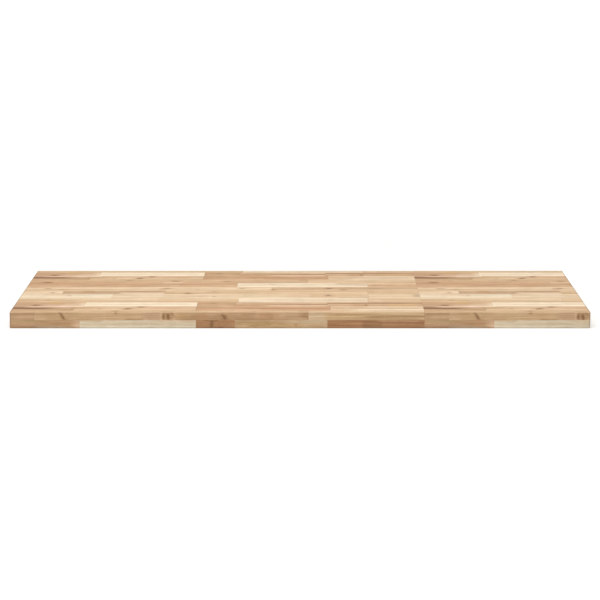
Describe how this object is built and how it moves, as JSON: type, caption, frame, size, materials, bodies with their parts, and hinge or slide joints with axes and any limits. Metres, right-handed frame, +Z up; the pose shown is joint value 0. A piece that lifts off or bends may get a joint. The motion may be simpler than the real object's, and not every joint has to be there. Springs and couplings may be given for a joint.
{
  "type": "table top",
  "caption": "Rectangular solid-wood table top of edge-glued staves in two layers, with butt-jointed ends and lightly eased edges.",
  "frame": {"origin": "middle of the flat underside, which rests on the floor or on a table's frame", "axes": "+X along the length to the right, +Y from the front edge to the back, +Z up through the thickness"},
  "size_m": [1.4, 0.6, 0.04],
  "materials": {
    "upper_staves": "sanded, unoiled",
    "lower_staves": "sanded, unoiled"
  },
  "bodies": {
    "root": {"lower_row_01": "lower_staves", "lower_row_02": "lower_staves", "lower_row_03": "lower_staves", "lower_row_04": "lower_staves", "lower_row_05": "lower_staves", "lower_row_06": "lower_staves", "lower_row_07": "lower_staves", "lower_row_08": "lower_staves", "lower_row_09": "lower_staves", "lower_row_10": "lower_staves", "lower_row_11": "lower_staves", "upper_row_01": "upper_staves", "upper_row_02": "upper_staves", "upper_row_03": "upper_staves", "upper_row_04": "upper_staves", "upper_row_05": "upper_staves", "upper_row_06": "upper_staves", "upper_row_07": "upper_staves", "upper_row_08": "upper_staves", "upper_row_09": "upper_staves", "upper_row_10": "upper_staves", "upper_row_11": "upper_staves", "upper_row_12": "upper_staves"}
  },
  "joints": []
}
